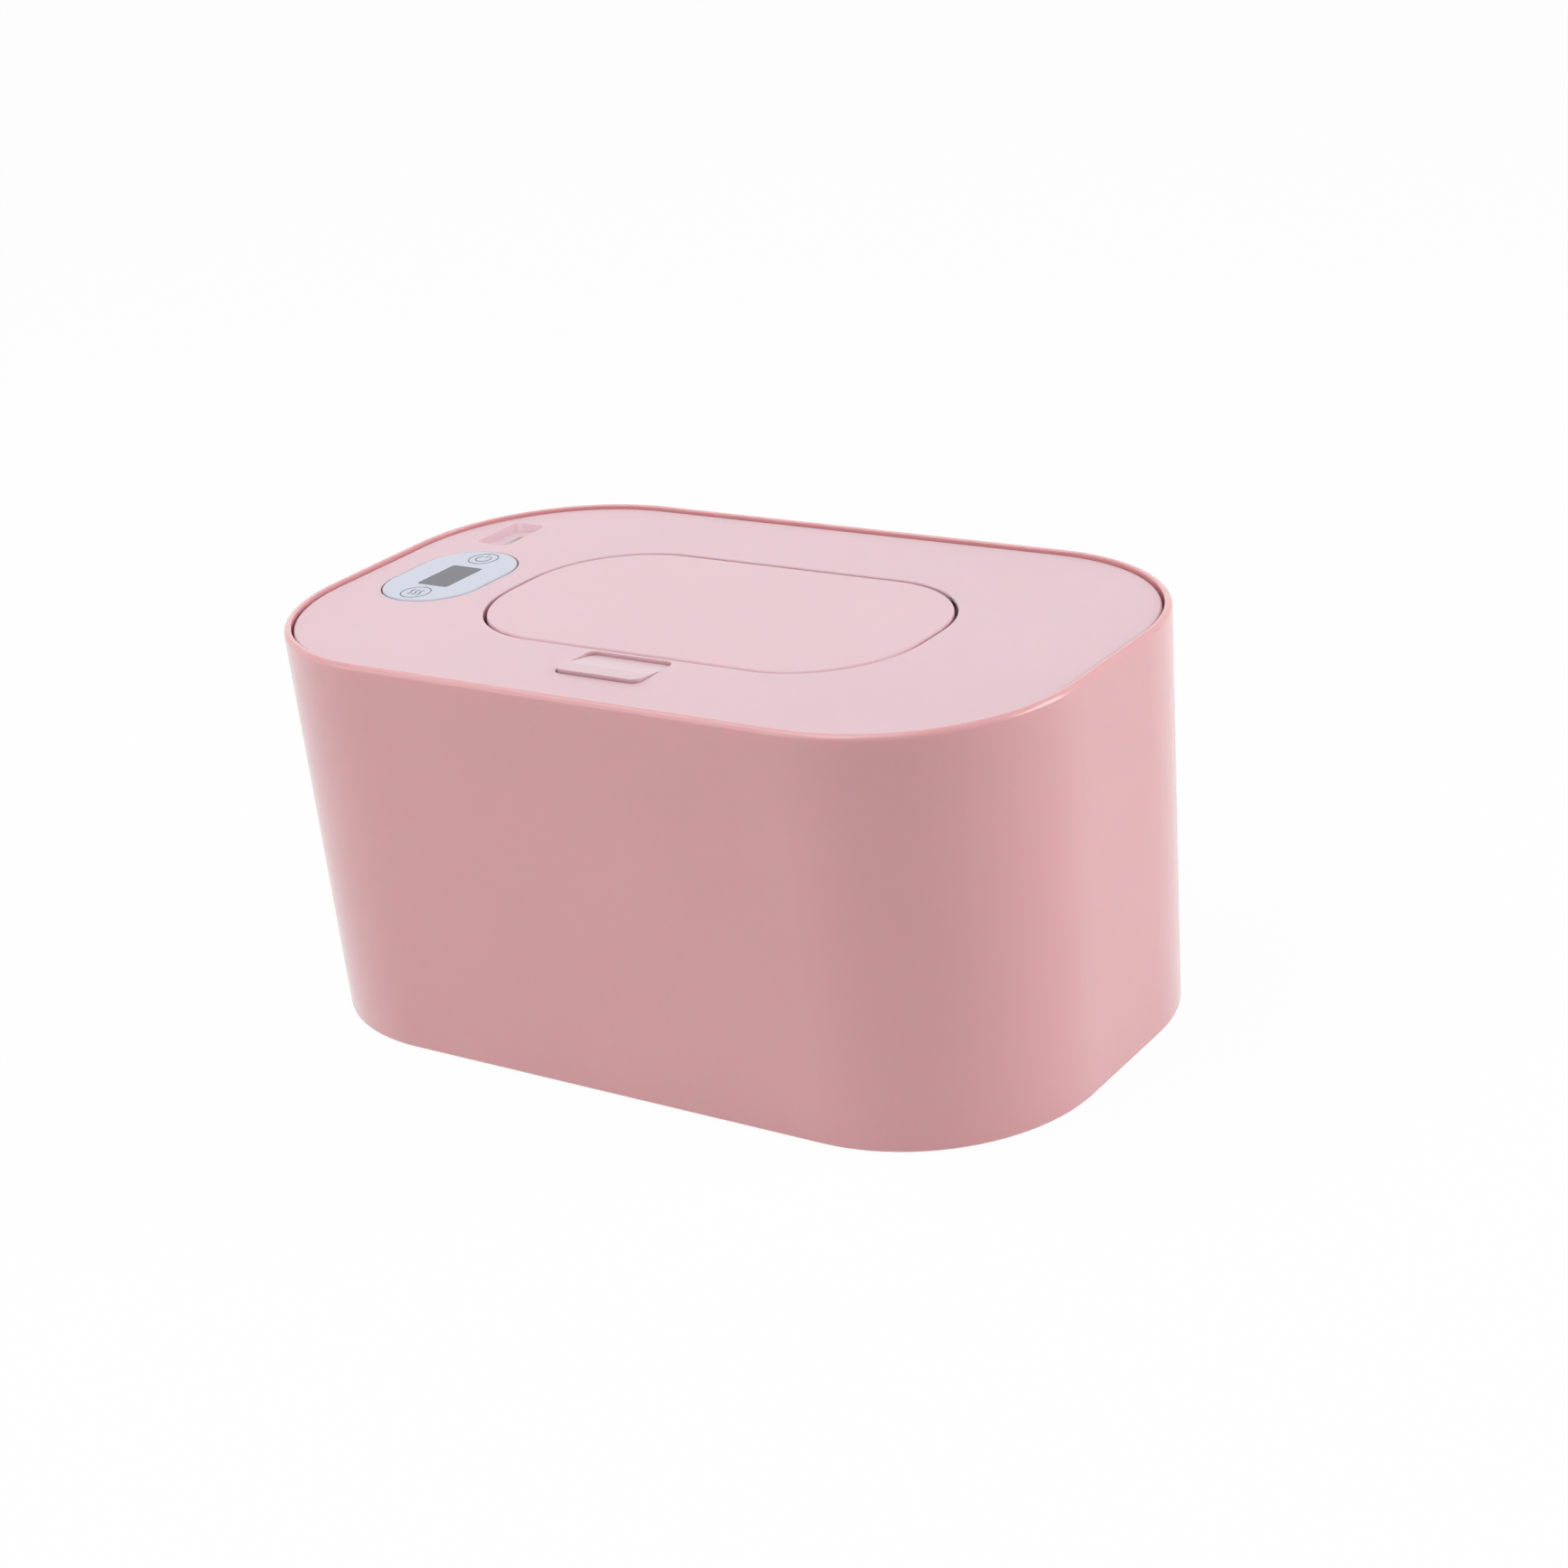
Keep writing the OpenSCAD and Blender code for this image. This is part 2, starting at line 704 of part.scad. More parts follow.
// The nose that holds the flip lid's hook
hook_lip = 1;
hook_engagement = 0.55;
hook_back_y = -flip_d / 2 + 2.4;
hook_front_y = -flip_d / 2 + 0.8;
hook_tip_y = hook_front_y - hook_lip;
hook_low_z = well_z + 1.6;
hook_lip_z = hook_low_z + 1.3;
hook_lip_h = 0.5;
hook_lead = 0.2;
hook_w = 8;
nose_tip_y = hook_tip_y + hook_engagement;
nose_z = hook_lip_z + 0.15;
nose_top_z = nose_z + 1.7;
nose_edge = 0.7;
nose_slope = 1;
post_back_y = -pocket_back + 0.8;
post_front_y = post_back_y - 3.2;
// The deck that the slide runs on, its side guides and the stop behind its spring
deck_w = 2 * (latch_w / 2 + 3.2);
guide_gap = 0.2;
guide_t = 1.4;
guide_h = 2.4;
guide_setback = 1;
spring_stop_t = 1.6;
latch_spring_l = 5;
spring_stop_y = ramp_front_y - latch_spring_l;
latch_spring_wire = 0.2;
latch_spring_turns = 6;
latch_spring_r = 1.3;
latch_spring_z = latch_z + 1.7;

// The torsion spring that throws the flip lid open
liner_t = 1.8;
liner_z = lid_top - flip_t - liner_t;
liner_inset = 2.55;
flip_rib = [1.2, 2.4];
flip_rib_h = 2.2;
flip_low_round = 0.3;
liner_round = 0.5;
barrel_gap = 0.4;
// The flip lid's seal, as distances out from the collar's wall, and the depth of its groove
seal_ring = [0.3, 2.5];
seal_groove = 0.8;
post_x = 7.2 - flip_w / 2;
post_t = 1.5;
post_w = 6;
post_top_gap = 0.8;
post_stub_past = 0.9;
opening_wire = 0.3;
opening_coil_r = 2.1;
post_stub_r = opening_coil_r - 0.9;
opening_turns = 5;
opening_pitch = 0.75;
opening_y = axis_y - 8;
opening_z = liner_z - 0.1 - opening_wire - opening_coil_r;
opening_leg = 9;

// The collar's outline, set out by a distance
module collar_shape(gap, z0, z1) {
    slot_plate(collar_w + 2 * gap, collar_d + 2 * gap, z0, z1);
}

// The shell of the lid's top: a drafted skirt and the edge of its plate
module lid_shell() {
    edge = 6;
    section = concat(
        [[-lid_inset - lean(skirt_z), skirt_z]],
        arc(-lid_inset - lid_edge_round - lean(lid_top), lid_top - lid_edge_round, lid_edge_round, 0, 90),
        [
            [-edge, lid_top],
            [-edge, plate_z],
            [-lid_inset - skirt_t - lean(plate_z), plate_z],
            [-lid_inset - skirt_t - lean(skirt_z), skirt_z]
        ]
    );
    sweep(body_w, body_d, corner_r, section);
    inset = edge - 1;
    plate(body_w - 2 * inset, body_d - 2 * inset, corner_r - inset, plate_z, lid_top);
}

// What the well takes out of the lid, flared into a rounded edge at the top
module well_cut() {
    section = concat(
        [[-well_r, well_z], [0, well_z]],
        arc(opening_round, lid_top - opening_round, opening_round, 180, 90),
        [[opening_round, lid_top + past], [-well_r, lid_top + past]]
    );
    sweep(well_w, well_d, well_r, section);
    core(well_w, well_d, well_r, well_z, lid_top + past);
    // Room behind the lip, where the back corners of the flip lid turn
    u = 2 * hinge_undercut;
    intersection() {
        plate(well_w + u, well_d + u, well_r + hinge_undercut, well_z, lid_top - hinge_lip_t);
        box([-well_w, axis_y - 10, well_z], [well_w, well_d, lid_top]);
    }
}

// Blocks beside the well that hold the hinge pins
module hinge_blocks() {
    for (side = [0, 1])
        mirror([side, 0, 0])
            box([axis_x, axis_y - hinge_block[0], axis_z - hinge_block[1]],
                [pin_out_x + pin_cover, axis_y + hinge_block[0], plate_z + join]);
}

// Stops for the open flip lid
module opening_stops() {
    for (side = [0, 1])
        mirror([side, 0, 0])
            box([stop_x, stop_front_y, well_z - join], [stop_x + stop_w, stop_back_y, stop_z]);
}

// The deck, guides and spring stop of the latch
module latch_deck() {
    box([-deck_w / 2, spring_stop_y - spring_stop_t, well_low_z], [deck_w / 2, -well_d / 2, well_z]);
    box([-ramp_w / 2, spring_stop_y - spring_stop_t, well_z - join], [ramp_w / 2, spring_stop_y, ramp_top_z]);
    guide_x = latch_w / 2 + guide_gap;
    for (side = [0, 1])
        mirror([side, 0, 0])
            box([guide_x, ramp_front_y + guide_setback, well_z - join],
                [guide_x + guide_t, post_front_y, well_z + guide_h]);
}

// Walls round the button's pocket, with lugs for its pivots
module pocket_walls() {
    translate([0, pocket_y, 0])
        plate(pocket_w + 2 * pocket_wall, pocket_d + 2 * pocket_wall, pocket_r + pocket_wall,
            pocket_low_z, plate_z + join);
    for (side = [0, 1])
        mirror([side, 0, 0])
            box([pocket_w / 2, pivot_y - lug_d / 2, pivot_z - lug_drop],
                [pocket_w / 2 + pocket_wall, pivot_y + lug_d / 2, plate_z + join]);
}

// The inlet's sunken floor, with walls that slope in to it
module inlet_cut() {
    thin = 0.01;
    lean_in = inlet_far_lean + inlet_near_lean;
    shift = (inlet_far_lean - inlet_near_lean) / 2;
    translate([inlet_place[0], inlet_place[1], 0])
        hull() {
            plate(inlet_w, inlet_d, inlet_r, lid_top, lid_top + past, $fn = 32);
            translate([shift, -shift, 0])
                plate(inlet_w - lean_in, inlet_d - lean_in, inlet_floor_r,
                    inlet_floor_z, inlet_floor_z + thin, $fn = 32);
        }
    translate([socket_place[0], socket_place[1], 0])
        slot_plate(socket_w + 2 * socket_gap, socket_d + 2 * socket_gap,
            inlet_floor_z - inlet_floor_t - past, lid_top);
}

// The rib and stub that carry the opening spring
module spring_post() {
    box([post_x - post_t, opening_y - post_w / 2, well_z - join],
        [post_x, opening_y + post_w / 2, liner_z - post_top_gap]);
    stub_end = post_x + opening_turns * opening_pitch + post_stub_past;
    rod_x(post_x - join, stub_end, opening_y, opening_z, post_stub_r);
}

// Top cover of the lid: skirt, well, pocket, panel seat, inlet and bosses in one moulding
module lid_top_cover() {
    seat_edge = panel_gap + panel_seat_wall;
    color("#f0cdd4") {
        difference() {
            union() {
                lid_shell();
                plate(well_w + 2 * well_wall, well_d + 2 * well_wall, well_r + well_wall,
                    well_low_z, plate_z + join);
                hinge_blocks();
                latch_deck();
                pocket_walls();
                translate([panel_place[0], panel_place[1], 0])
                    slot_plate(panel_w + 2 * seat_edge, panel_d + 2 * seat_edge,
                        panel_z - panel_seat_t, plate_z + join);
                translate([inlet_place[0], inlet_place[1], 0])
                    plate(inlet_w + 2 * inlet_wall, inlet_d + 2 * inlet_wall, inlet_r + inlet_wall / 2,
                        inlet_floor_z - inlet_floor_t, plate_z + join);
                at(lid_screw_places)
                    translate([0, 0, lid_boss_z])
                        cylinder(r = lid_screw[0] + boss_wall, h = plate_z + join - lid_boss_z);
                at(board_screw_places)
                    translate([0, 0, board_top_z])
                        cylinder(r = board_screw[0] + boss_wall, h = plate_z + join - board_top_z);
            }
            well_cut();
            collar_shape(collar_gap, well_low_z - past, well_z + past);
            // Pocket of the button, and the window that the latch's nose reaches through
            translate([0, pocket_y, 0])
                plate(pocket_w, pocket_d, pocket_r, pocket_low_z - past, lid_top + past);
            box([-latch_w / 2 - latch_side_gap, -well_d / 2 - well_wall - past, well_z],
                [latch_w / 2 + latch_side_gap, -well_d / 2 + past, nose_top_z + latch_over_gap]);
            rod_x(-pocket_w, pocket_w, pivot_y, pivot_z, pivot_r + pivot_gap);
            for (side = [0, 1])
                mirror([side, 0, 0])
                    rod_x(axis_x - 1, pin_out_x + pin_cover + past, axis_y, axis_z, hinge_pin_r);
            translate([panel_place[0], panel_place[1], 0]) {
                slot_plate(panel_w + 2 * panel_gap, panel_d + 2 * panel_gap, panel_z, lid_top + past);
                slot_plate(panel_w - 2 * panel_ledge, panel_d - 2 * panel_ledge,
                    panel_z - panel_seat_t - past, lid_top);
            }
            inlet_cut();
            at(lid_screw_places)
                translate([0, 0, lid_boss_z - past])
                    cylinder(r = lid_screw[0], h = lid_screw_l + lid_screw_z - lid_boss_z + past);
            at(board_screw_places)
                translate([0, 0, board_top_z - past])
                    cylinder(r = board_screw[0], h = board_screw_l - board_t + pilot_play + past);
        }
        spring_post();
        opening_stops();
    }
}

// Lower cover of the lid: a plug that enters the tub, with a window for the heater plate
module lid_lower_cover() {
    section = concat(
        [
            [-lower_inset - lean(skirt_z), skirt_z],
            [-lower_inset - lean(skirt_z), skirt_z + lower_t],
            [-plug_inset - lower_t, skirt_z + lower_t],
            [-plug_inset - lower_t, pan_z],
            [-pan_inset - plate_join, pan_z],
            [-pan_inset - plate_join, plug_z]
        ],
        arc(-plug_inset - plug_round, plug_z + plug_round, plug_round, -90, 0),
        [[-plug_inset, skirt_z]]
    );
    pan_w = body_w - 2 * pan_inset;
    pan_d = body_d - 2 * pan_inset;
    color("#f6f4f1")
    difference() {
        union() {
            sweep(body_w, body_d, corner_r, section);
            plate(pan_w, pan_d, corner_r - pan_inset, plug_z, pan_z);
            at(lid_screw_places)
                translate([0, 0, plug_z])
                    cylinder(r = lid_screw[1] + head_clearance + head_wall, h = lid_boss_z - plug_z);
        }
        plate(dish_w + 2 * dish_gap, dish_d + 2 * dish_gap, dish_r + dish_gap, plug_z - past, pan_z + past);
        sweep(body_w, body_d, corner_r, seal_rib_section(skirt_z - past));
        at(lid_screw_places) {
            translate([0, 0, plug_z - past])
                cylinder(r = lid_screw[1] + head_clearance, h = lid_screw_z - plug_z + past);
            translate([0, 0, plug_z])
                cylinder(r = lid_screw[0] + shank_clearance, h = lid_boss_z - plug_z + past);
        }
    }
}

// Screws that close the lid from below
module lid_screws() {
    color("#b8b8bc")
    at(lid_screw_places)
        screw(lid_screw, lid_screw_z, lid_screw_l);
}

// Silicone ring under the lid's edge, which lies on the tub's flange
module lid_seal() {
    outer = shell_wall + tub_gap + lean(seat_z);
    inner = tub_inset + tub_wall - seal_setback;
    section = [[-inner, seat_z], [-outer, seat_z], [-outer, skirt_z], [-inner, skirt_z]];
    color("#f1ece8") {
        sweep(body_w, body_d, corner_r, section);
        sweep(body_w, body_d, corner_r, seal_rib_section(skirt_z - join));
    }
}

// Collar that lines the dispensing mouth, from the well down to the heater plate
module dispensing_collar() {
    edge = collar_t + collar_flange;
    section = concat(
        [[0, dish_z], [collar_t, dish_z], [collar_t, well_z], [edge, well_z]],
        arc(edge - collar_edge_round, collar_top_z - collar_edge_round, collar_edge_round, 0, 90),
        arc(collar_round, collar_top_z - collar_round, collar_round, 90, 180)
    );
    color("#faf8f6")
    sweep(mouth_w, mouth_d, mouth_d / 2, section);
}

// Glossy panel with the display window's opening
module control_panel() {
    color("#dcdfe8")
    translate([panel_place[0], panel_place[1], 0])
        difference() {
            rounded_plate(panel_w, panel_d, panel_w / 2, panel_z, panel_top_z, panel_edge_round);
            translate(window_place - panel_place) {
                plate(window_w, window_d, window_r, panel_top_z - window_t - window_sunk, panel_top_z + past);
                plate(window_w - 2 * window_ledge, window_d - 2 * window_ledge, window_r / 2,
                    panel_z - past, panel_top_z);
            }
        }
}

// Smoked lens over the display
module display_window() {
    z = panel_top_z - window_sunk;
    color("#8a8a94")
    translate([window_place[0], window_place[1], 0])
        plate(window_w - 2 * window_gap, window_d - 2 * window_gap, window_r - window_gap, z - window_t, z);
}

// Display module on the board, under its window
module display_module() {
    frame = 2 * display_frame;
    face = 2 * display_face;
    top = panel_z - display_drop;
    color("#2c2e33")
    translate([window_place[0], window_place[1], 0]) {
        plate(window_w + frame, window_d + frame, display_frame, board_top_z, top);
        plate(window_w - face, window_d - face, window_r / 2, top - join, top + 0.5);
    }
}

// Springs that carry a finger's touch from the panel to the board
module touch_springs() {
    r = touch_spring_wire;
    color("#c9cbd0")
    at(key_places)
        wire(coil(touch_spring_r, touch_spring_turns, board_top_z + r, panel_z - r), r, [0, 0, 1]);
}

// Control board
module control_board() {
    color("#2f7d54")
    difference() {
        translate([board_x, (board_back_y + board_front_y) / 2, 0])
            plate(board_w, board_back_y - board_front_y, board_r, board_z, board_top_z);
        at(board_screw_places)
            translate([0, 0, board_z - past])
                cylinder(r = board_screw[0] + board_hole_gap, h = board_t + 2 * past);
    }
}

// Screws that hold the board
module board_screws() {
    color("#b8b8bc")
    at(board_screw_places)
        screw(board_screw, board_z, board_screw_l);
}

// Upright power socket on the board
module usb_socket() {
    top = inlet_floor_z - socket_drop;
    base = board_top_z + socket_floor;
    color("#c4c6cb")
    translate([socket_place[0], socket_place[1], 0]) {
        difference() {
            slot_plate(socket_w, socket_d, board_top_z, top);
            slot_plate(socket_w - 2 * socket_wall, socket_d - 2 * socket_wall, base, top + past);
        }
        tongue = socket_tongue / 2;
        box([-tongue[0], -tongue[1], base - join], [tongue[0], tongue[1], top - socket_tongue_drop]);
    }
}

// Aluminium plate that warms the top wipe: a dish with a flange, pierced by the mouth
module heater_plate() {
    step = heater_flange + heater_t;
    inset = step + plate_join;
    section = concat(
        [
            [0, pan_z],
            [0, pan_z + heater_t],
            [-step, pan_z + heater_t],
            [-step, film_z],
            [-step - 2 * plate_join, film_z],
            [-step - 2 * plate_join, dish_z]
        ],
        arc(-step, dish_z + heater_t, heater_t, -90, 0),
        [[-heater_flange, pan_z]]
    );
    color("#cfd1d4")
    difference() {
        union() {
            sweep(heater_w, heater_d, heater_r, section);
            plate(heater_w - 2 * inset, heater_d - 2 * inset, heater_r - inset, dish_z, film_z);
        }
        collar_shape(collar_gap, dish_z - past, film_z + past);
    }
}

// Heating film on the plate
module heating_film() {
    color("#c9802f")
    difference() {
        plate(inner_w, inner_d, inner_r, film_z, pad_z);
        collar_shape(collar_room, film_z - past, pad_z + past);
    }
}

// An opening in the pad round a sensor of half a length and a radius
module sensor_opening(y, half_l, r) {
    x = half_l + sensor_gap;
    dy = r + sensor_gap;
    box([sensor_x - x, y - dy, pad_z - past], [sensor_x + x, y + dy, pad_top_z + past]);
}

// Foam pad that keeps the heat off the electronics
module insulation_pad() {
    color("#dfe1e3")
    difference() {
        plate(inner_w, inner_d, inner_r, pad_z, pad_top_z);
        collar_shape(collar_room, pad_z - past, pad_top_z + past);
        sensor_opening(thermistor_y, thermistor_l / 2, thermistor_r);
        sensor_opening(fuse_y, fuse_end, fuse_r);
        at(lead_places)
            translate([0, 0, pad_z - past])
                cylinder(r = lead_r + lead_gap, h = pad_t + 2 * past);
    }
}

// Temperature sensor
module thermistor() {
    half = thermistor_l / 2;
    color("#1f1f22")
    rod_x(sensor_x - half, sensor_x + half, thermistor_y, pad_z + thermistor_r, thermistor_r);
}

// Thermal fuse with its leads
module thermal_fuse() {
    z = pad_z + fuse_r;
    color("#b9bcc2") {
        rod_x(sensor_x - fuse_l / 2, sensor_x + fuse_l / 2, fuse_y, z, fuse_r);
        rod_x(sensor_x - fuse_end, sensor_x + fuse_end, fuse_y, z, fuse_lead_r);
    }
}

// Leads from the film up to the board
module heater_leads() {
    color("#b03030")
    at(lead_places)
        translate([0, 0, pad_z])
            cylinder(r = lead_r, h = board_z - pad_z);
}

// Steel pins of the flip lid's hinge
module hinge_pins() {
    color("#c4c6cb")
    for (side = [0, 1])
        mirror([side, 0, 0])
            rod_x(pin_in_x, pin_out_x, axis_y, axis_z, hinge_pin_r);
}

// Torsion spring: one leg on the well's floor, the other under the flip lid
module opening_spring() {
    n = opening_turns * coil_steps;
    x0 = post_x + opening_wire + 0.1;
    turns = [for (i = [0:n]) let (a = -90 + (180 + 360 * (opening_turns - 1)) * i / n)
        [x0 + opening_turns * opening_pitch * i / n, opening_y + opening_coil_r * cos(a),
            opening_z + opening_coil_r * sin(a)]];
    leg_low = [x0, opening_y - opening_leg, well_z + opening_wire + 0.05];
    leg_high = [turns[n][0], opening_y - opening_leg, opening_z + opening_coil_r];
    color("#c4c6cb")
    wire(concat([leg_low], turns, [leg_high]), opening_wire, [1, 0, 0]);
}

// Spring that pushes the latch back under the hook
module latch_spring() {
    r = latch_spring_wire;
    color("#c4c6cb")
    translate([0, ramp_front_y, latch_spring_z])
        rotate([90, 0, 0])
            wire(coil(latch_spring_r, latch_spring_turns, r, latch_spring_l - r), r, [0, 0, 1]);
}

// A plate with the flip lid's outline, set in by a distance
module inset_plate(inset, z0, z1) {
    plate(flip_w - 2 * inset, flip_d - 2 * inset, flip_r - inset, z0, z1);
}

// Outer panel of the flip lid, with its stiffening rib, hinge barrels and hook
module flip_lid_panel() {
    z = lid_top - flip_t;
    color("#f3d0d6")
    difference() {
        union() {
            rounded_plate(flip_w, flip_d, flip_r, z, lid_top, flip_round, flip_low_round);
            difference() {
                inset_plate(flip_rib[0], z - flip_rib_h, z + past);
                inset_plate(flip_rib[1], z - flip_rib_h - past, z);
            }
            for (side = [0, 1])
                mirror([side, 0, 0])
                    rod_x(barrel_in_x, barrel_out_x, axis_y, axis_z - barrel_drop, hinge_barrel_r);
            across(hook_w)
                polygon([
                    [hook_back_y, z + past],
                    [hook_back_y, hook_low_z],
                    [hook_front_y - hook_lead, hook_low_z],
                    [hook_tip_y, hook_lip_z - hook_lip_h],
                    [hook_tip_y, hook_lip_z],
                    [hook_front_y, hook_lip_z],
                    [hook_front_y, z + past]
                ]);
        }
        for (side = [0, 1])
            mirror([side, 0, 0])
                rod_x(pin_in_x - pin_end_gap, axis_x + 1, axis_y, axis_z, hinge_pin_r + hinge_clearance);
    }
}

// White liner inside the flip lid, which carries its seal
module flip_lid_liner() {
    w = flip_w - 2 * liner_inset;
    d = flip_d - 2 * liner_inset;
    color("#faf8f6")
    difference() {
        rounded_plate(w, d, flip_r - liner_inset, liner_z, lid_top - flip_t, 0, liner_round);
        for (side = [0, 1])
            mirror([side, 0, 0])
                box([barrel_in_x - past, axis_y - hinge_barrel_r - barrel_gap, liner_z - past],
                    [w / 2, d, lid_top]);
        flip_seal_ring(liner_z - past, liner_z + seal_groove);
    }
}

// The ring that the flip lid's seal fills
module flip_seal_ring(z0, z1) {
    difference() {
        collar_shape(seal_ring[1], z0, z1);
        collar_shape(seal_ring[0], z0 - past, z1 + past);
    }
}

// Silicone ring that closes on the collar
module flip_lid_seal() {
    color("#f1ece8")
    flip_seal_ring(collar_top_z, liner_z + seal_groove);
}

// A block whose top slopes up to the front, spanned between four round corners
module sloped_block(w, d, r, top, low, edge) {
    hull()
        for (x = [-1, 1], y = [-1, 1])
            translate([x * (w / 2 - r), button_y + y * (d / 2 - r), top - y * (d / 2 - r) * button_slope])
                rotate_extrude($fn = 32)
                    polygon(edge_section(r, low - top, 0, edge, 0));
}

// Rocker button: a hollow cap that rises to the front, with pivots and a finger for the latch
module press_button() {
    top = lid_top + (button_proud - button_sunk) / 2;
    low = top - button_skirt;
    half = button_w / 2;
    in = 2 * button_wall;
    color("#f3d3da") {
        difference() {
            sloped_block(button_w, button_d, button_r, top, low, button_round);
            sloped_block(button_w - in, button_d - in, button_r - button_wall,
                top - button_top_t, low - 2 * past, 0);
        }
        // Thicker sides round the pivots, inside the button's own outline
        intersection() {
            translate([0, button_y, 0])
                plate(button_w, button_d, button_r, pivot_z - pivot_boss, pivot_z + pivot_boss);
            for (side = [0, 1])
                mirror([side, 0, 0])
                    box([half - button_wall, pivot_y - pivot_boss, low - past],
                        [half, pivot_y + pivot_boss, top]);
        }
        for (side = [0, 1])
            mirror([side, 0, 0])
                rod_x(half - past, pocket_w / 2 + pocket_wall - join, pivot_y, pivot_z, pivot_r);
        across(finger_w)
            union() {
                translate([finger_y - finger_r, finger_z])
                    square([2 * finger_r, top - button_top_t / 2 - finger_z]);
                translate([finger_y, finger_z])
                    circle(finger_r);
            }
    }
}

// Sliding latch: ramp at the front, nose at the back
module latch_slide() {
    color("#f4f2ef") {
        across(latch_w)
            polygon([
                [ramp_front_y, latch_z],
                [post_back_y, latch_z],
                [post_back_y, nose_z],
                [nose_tip_y, nose_z],
                [nose_tip_y, nose_z + nose_edge],
                [nose_tip_y - nose_slope, nose_top_z],
                [post_front_y, nose_top_z],
                [post_front_y, latch_top_z],
                [ramp_front_y, latch_top_z]
            ]);
        across(ramp_w)
            polygon([
                [ramp_front_y, latch_z + past],
                [ramp_sum - latch_top_z, latch_z + past],
                [ramp_sum - latch_top_z, latch_top_z],
                [ramp_back_y, ramp_top_z],
                [ramp_front_y, ramp_top_z]
            ]);
    }
}

outer_shell();
inner_tub();
tub_screws();
feet();
lid_top_cover();
lid_lower_cover();
lid_screws();
lid_seal();
dispensing_collar();
control_panel();
display_window();
display_module();
touch_springs();
control_board();
board_screws();
usb_socket();
heater_plate();
heating_film();
insulation_pad();
thermistor();
thermal_fuse();
heater_leads();
hinge_pins();
opening_spring();
latch_spring();
flip_lid_panel();
flip_lid_liner();
flip_lid_seal();
press_button();
latch_slide();
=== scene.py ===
"""Baby wipe warmer: materials, printed marks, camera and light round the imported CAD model."""
import math

import bmesh
import bpy
from mathutils import Matrix, Vector


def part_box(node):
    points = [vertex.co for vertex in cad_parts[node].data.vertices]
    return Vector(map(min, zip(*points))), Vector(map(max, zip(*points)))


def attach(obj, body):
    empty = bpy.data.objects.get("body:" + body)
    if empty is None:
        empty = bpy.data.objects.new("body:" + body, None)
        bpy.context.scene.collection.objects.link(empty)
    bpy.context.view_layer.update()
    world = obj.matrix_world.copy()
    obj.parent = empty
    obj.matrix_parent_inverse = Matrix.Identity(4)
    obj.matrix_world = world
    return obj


MM = 0.001
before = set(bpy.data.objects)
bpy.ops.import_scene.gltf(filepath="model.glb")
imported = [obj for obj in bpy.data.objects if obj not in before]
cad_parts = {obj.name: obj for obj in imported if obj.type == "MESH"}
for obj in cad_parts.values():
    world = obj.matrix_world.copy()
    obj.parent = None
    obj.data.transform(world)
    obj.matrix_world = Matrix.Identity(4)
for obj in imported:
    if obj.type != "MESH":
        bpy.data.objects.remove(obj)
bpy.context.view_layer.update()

# Base colours, as linear values
SHELL_PINK = (0.790, 0.422, 0.442)
LID_PINK = (0.818, 0.562, 0.617)
FLIP_PINK = (0.835, 0.563, 0.618)
BUTTON_PINK = (0.805, 0.585, 0.635)
WARM_WHITE = (0.800, 0.785, 0.760)
SILICONE = (0.700, 0.660, 0.640)
FOOT_GREY = (0.520, 0.490, 0.480)
PANEL_BLUE = (0.615, 0.650, 0.780)
LENS_GREY = (0.015, 0.015, 0.040)
PRINT_GREY = (0.060, 0.060, 0.080)
DARK_STEEL = (0.110, 0.090, 0.090)
DARK = (0.020, 0.020, 0.024)
BOARD_GREEN = (0.020, 0.150, 0.060)
AMBER = (0.480, 0.200, 0.035)
FOAM = (0.520, 0.535, 0.550)
LEAD_RED = (0.380, 0.020, 0.020)
STEEL = (0.560, 0.560, 0.580)
NICKEL = (0.620, 0.620, 0.640)
ALUMINIUM = (0.720, 0.725, 0.740)

# Blender's noise lies mostly between these two values
NOISE_LOW = 0.3
NOISE_HIGH = 0.7

# Moulded plastic: features to the metre, and how it takes the light
FLOW_MARKS = 28
GLOSS_PATCHES = 160
MOULD_WAVES = 420
WAVE_H = 0.0035 * MM
PLASTIC_IOR = 1.48
LIGHT_REACH = (1.0, 0.35, 0.3)
LIGHT_DEPTH = 2 * MM
COAT_ROUGHNESS = 0.12

# Printed keys: ink, rings, the power mark and the heat mark
INK_T = 0.03 * MM
KEY_R = 3.6 * MM
RING_W = 0.27 * MM
ICON_W = 0.32 * MM
KEY_PITCH = 25.4 * MM
POWER_R = 1.9 * MM
POWER_ARC = (125, 415)
BAR_LOW = 0.9 * MM
BAR_HIGH = 2.5 * MM
WAVE_PITCH = 1.3 * MM
WAVE_SWING = 0.35 * MM
WAVE_STEP = 0.28 * MM
WAVE_STEPS = 12


def shade(colour, factor=1.0):
    """A colour with its brightness changed, as an RGBA value."""
    return tuple(min(1.0, c * factor) for c in colour) + (1.0,)


